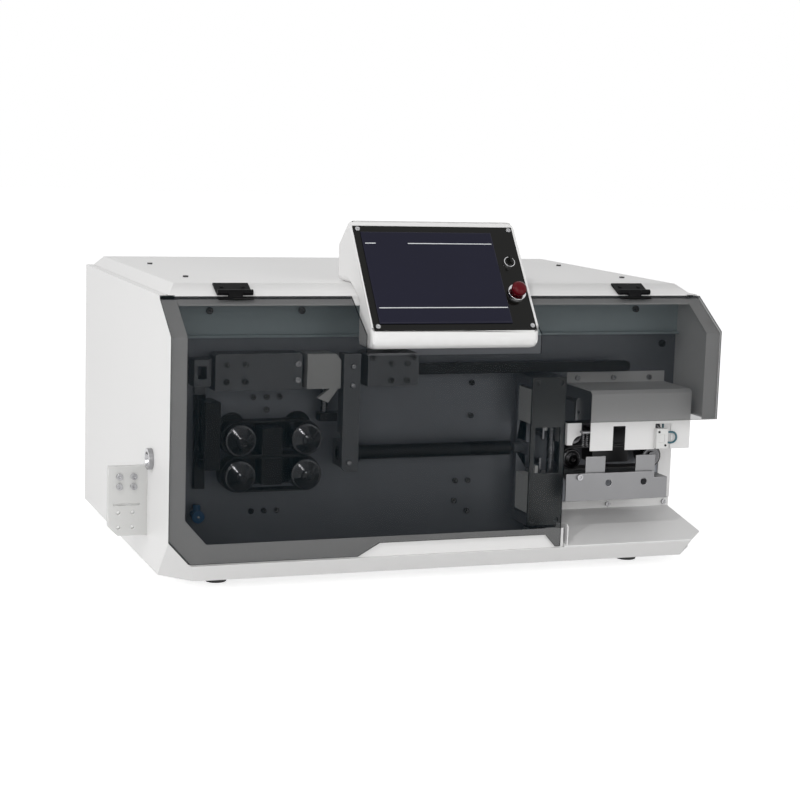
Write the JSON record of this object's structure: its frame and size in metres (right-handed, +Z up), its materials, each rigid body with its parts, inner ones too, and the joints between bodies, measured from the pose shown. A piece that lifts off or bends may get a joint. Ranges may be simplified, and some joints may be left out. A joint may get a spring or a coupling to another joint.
{
  "type": "wire cutting stripping machine",
  "caption": "Bench wire cutting and stripping machine with a hinged smoked cover over belt feeders, guide tube and blade head, tilted operator panel and delivery tray.",
  "frame": {"origin": "middle of the floor area under the machine, at the bottom of the feet", "axes": "+Z up, front with the smoked cover faces -Y, wire runs along +X from the inlet to the outlet"},
  "size_m": [0.875, 0.607, 0.5056],
  "materials": {
    "cabinet_white": "satin",
    "plate_grey": "satin",
    "fascia_grey": "satin",
    "rubber_black": "matte",
    "screw_steel": "satin",
    "screw_black": "satin",
    "panel_black": "gloss",
    "screen_navy": "gloss",
    "chrome": "polished",
    "stop_red": "gloss",
    "smoked_acrylic": "gloss",
    "hinge_black": "satin",
    "light_alloy": "satin",
    "dark_alloy": "satin",
    "black_alloy": "satin",
    "turned_black": "polished",
    "motor_black": "satin",
    "fitting_blue": "gloss",
    "blade_steel": "polished",
    "zinc_steel": "satin",
    "sensor_white": "satin",
    "electronics_grey": "matte"
  },
  "bodies": {
    "housing": {"base_pan": "cabinet_white", "left_side_panel": "cabinet_white", "right_side_panel": "cabinet_white", "rear_panel": "cabinet_white", "top_panel": "cabinet_white", "front_frame": "cabinet_white", "hmi_box": "cabinet_white", "outfeed_guard": "cabinet_white", "tray": "cabinet_white", "mounting_plate": "plate_grey", "cutter_front_plate": "plate_grey", "cutter_base": "plate_grey", "upper_fascia": "fascia_grey", "feet": "rubber_black", "infeed_lower_belt": "rubber_black", "outfeed_belts": "rubber_black", "plate_screws": "screw_steel", "panel_screws": "screw_black", "hmi_plate": "panel_black", "power_inlet": "panel_black", "touch_panel": "screen_navy", "switch_collars": "chrome", "inlet_bushing": "chrome", "hinge_fixed_leaves": "hinge_black", "inlet_bracket": "light_alloy", "lift_cylinder": "light_alloy", "infeed_clamp_plate": "dark_alloy", "rail_clamp": "dark_alloy", "infeed_lower_carrier": "black_alloy", "guide_rail": "black_alloy", "infeed_lower_motor": "motor_black", "cutter_motor": "motor_black", "outfeed_motor": "motor_black", "air_fitting": "fitting_blue", "outfeed_bracket": "zinc_steel", "exit_sensor": "sensor_white", "controller_box": "electronics_grey"},
    "cover_assembly": {"cover": "smoked_acrylic", "hinge_moving_leaves": "hinge_black"},
    "stop_head": {"stop_button": "stop_red"},
    "key_knob": {"key_switch": "panel_black"},
    "feed_upper_unit": {"infeed_upper_carrier": "black_alloy", "infeed_upper_belt": "rubber_black", "infeed_upper_motor": "motor_black"},
    "feed_wheel_ll": {"infeed_pulley_lower_left": "turned_black"},
    "feed_wheel_lr": {"infeed_pulley_lower_right": "turned_black"},
    "feed_wheel_ul": {"infeed_pulley_upper_left": "turned_black"},
    "feed_wheel_ur": {"infeed_pulley_upper_right": "turned_black"},
    "tube_unit": {"tube_arm": "dark_alloy", "guide_tube": "black_alloy", "lift_rod": "chrome"},
    "cut_upper": {"upper_carriage": "light_alloy", "upper_blade": "blade_steel"},
    "cut_lower": {"lower_carriage": "light_alloy", "lower_blade": "blade_steel"},
    "cut_screw": {"lead_screw": "blade_steel"},
    "out_wheel_ll": {"outfeed_pulley_lower_left": "turned_black"},
    "out_wheel_lr": {"outfeed_pulley_lower_right": "turned_black"},
    "out_wheel_ul": {"outfeed_pulley_upper_left": "turned_black"},
    "out_wheel_ur": {"outfeed_pulley_upper_right": "turned_black"}
  },
  "joints": [
    {"name": "cover_hinge", "type": "hinge", "parent": "housing", "child": "cover_assembly", "pos_m": [0.0275, -0.2289, 0.4072], "axis": [-1, 0, 0], "range_deg": [0, 110]},
    {"name": "stop_press", "type": "slide", "parent": "housing", "child": "stop_head", "axis": [0, 0.788, -0.6157], "range_m": [0, 0.004], "stiffness_N_per_m": 600, "springref_m": -0.002},
    {"name": "key_turn", "type": "hinge", "parent": "housing", "child": "key_knob", "pos_m": [0.1225, -0.23664, 0.4517], "axis": [0, -0.788, 0.6157], "range_deg": [0, 90]},
    {"name": "feed_lift", "type": "slide", "parent": "housing", "child": "feed_upper_unit", "axis": [0, 0, 1], "range_m": [0, 0.012]},
    {"name": "feed_drive", "type": "hinge", "parent": "housing", "child": "feed_wheel_lr", "pos_m": [-0.1665, -0.1915, 0.1487], "axis": [0, 1, 0], "continuous": true},
    {"name": "feed_idler", "type": "hinge", "parent": "housing", "child": "feed_wheel_ll", "pos_m": [-0.2625, -0.1915, 0.1487], "axis": [0, 1, 0], "continuous": true},
    {"name": "feed_upper_drive", "type": "hinge", "parent": "feed_upper_unit", "child": "feed_wheel_ul", "pos_m": [-0.2625, -0.1915, 0.1993], "axis": [0, 1, 0], "continuous": true},
    {"name": "feed_upper_idler", "type": "hinge", "parent": "feed_upper_unit", "child": "feed_wheel_ur", "pos_m": [-0.1665, -0.1915, 0.1993], "axis": [0, 1, 0], "continuous": true},
    {"name": "tube_lift", "type": "slide", "parent": "housing", "child": "tube_unit", "axis": [0, 0, 1], "range_m": [0, 0.03]},
    {"name": "blade_close", "type": "slide", "parent": "housing", "child": "cut_upper", "axis": [0, 0, -1], "range_m": [0, 0.015]},
    {"name": "blade_close_lower", "type": "slide", "parent": "housing", "child": "cut_lower", "axis": [0, 0, 1], "range_m": [0, 0.015]},
    {"name": "screw_turn", "type": "hinge", "parent": "housing", "child": "cut_screw", "pos_m": [0.2145, -0.2045, 0.174], "axis": [0, 0, 1], "range_deg": [0, 270]},
    {"name": "out_drive", "type": "hinge", "parent": "housing", "child": "out_wheel_lr", "pos_m": [0.3815, -0.1915, 0.1562], "axis": [0, 1, 0], "continuous": true},
    {"name": "out_idler", "type": "hinge", "parent": "housing", "child": "out_wheel_ll", "pos_m": [0.2495, -0.1915, 0.1562], "axis": [0, 1, 0], "continuous": true},
    {"name": "out_upper_drive", "type": "hinge", "parent": "housing", "child": "out_wheel_ur", "pos_m": [0.3815, -0.1915, 0.1918], "axis": [0, 1, 0], "continuous": true},
    {"name": "out_upper_idler", "type": "hinge", "parent": "housing", "child": "out_wheel_ul", "pos_m": [0.2495, -0.1915, 0.1918], "axis": [0, 1, 0], "continuous": true}
  ],
  "couplings": [
    {"joint": "feed_idler", "follows": "feed_drive", "ratio": 1},
    {"joint": "feed_upper_drive", "follows": "feed_drive", "ratio": -1},
    {"joint": "feed_upper_idler", "follows": "feed_drive", "ratio": -1},
    {"joint": "blade_close_lower", "follows": "blade_close", "ratio": 1},
    {"joint": "screw_turn", "follows": "blade_close", "rad_per_m": 314.16},
    {"joint": "out_idler", "follows": "out_drive", "ratio": 1},
    {"joint": "out_upper_drive", "follows": "out_drive", "ratio": -1},
    {"joint": "out_upper_idler", "follows": "out_drive", "ratio": -1}
  ]
}
